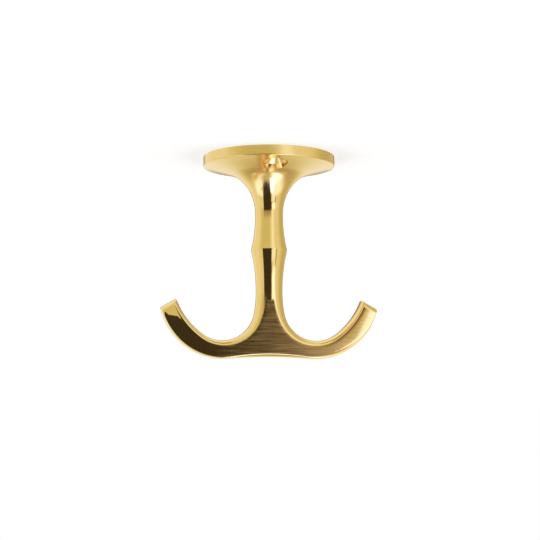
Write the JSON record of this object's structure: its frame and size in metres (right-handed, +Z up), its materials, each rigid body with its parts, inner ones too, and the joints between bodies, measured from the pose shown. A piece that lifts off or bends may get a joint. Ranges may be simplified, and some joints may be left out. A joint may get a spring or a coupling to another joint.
{
  "type": "anchor hook",
  "caption": "Brass ceiling hook: a round screw plate flares into a turned stem that ends in two upturned arms, like an anchor.",
  "frame": {"origin": "centre of the plate's top face, which sits on the ceiling", "axes": "+Z up, out of the ceiling face; +X along the arms, towards one arm; +Y through the depth of the arms, from the front flat face to the back one"},
  "size_m": [0.0658, 0.04, 0.0617],
  "materials": {
    "brass": "satin polished brass, unlacquered look"
  },
  "bodies": {
    "root": {"anchor_hook": "brass"}
  },
  "joints": []
}
